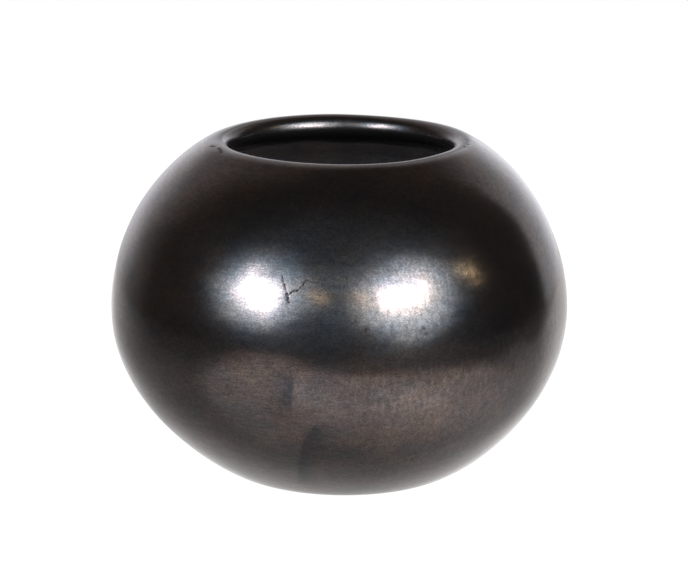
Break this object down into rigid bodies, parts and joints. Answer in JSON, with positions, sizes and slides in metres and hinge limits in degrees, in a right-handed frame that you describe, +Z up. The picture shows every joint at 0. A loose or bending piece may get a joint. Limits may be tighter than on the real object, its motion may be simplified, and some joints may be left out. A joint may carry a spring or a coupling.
{
  "type": "blackware bowl",
  "caption": "Globular, close-mouthed bowl of burnished black clay with a flat foot and a thick rounded lip, coil built to hold seeds, water or dry goods.",
  "frame": {"origin": "on the table, under the axis of the belly", "axes": "+Z up through the mouth, -Y towards the side that the picture shows, +X to the right of that side"},
  "size_m": [0.14, 0.14, 0.1033],
  "materials": {
    "burnished_blackware": "smoke-blackened earthenware, stone burnished outside and over the lip, matt and scraped inside"
  },
  "bodies": {
    "root": {"pressed_base": "burnished_blackware", "wall_coil_1": "burnished_blackware", "wall_coil_2": "burnished_blackware", "wall_coil_3": "burnished_blackware", "wall_coil_4": "burnished_blackware", "wall_coil_5": "burnished_blackware", "wall_coil_6": "burnished_blackware", "wall_coil_7": "burnished_blackware", "wall_coil_8": "burnished_blackware", "rim_coil": "burnished_blackware"}
  },
  "joints": []
}
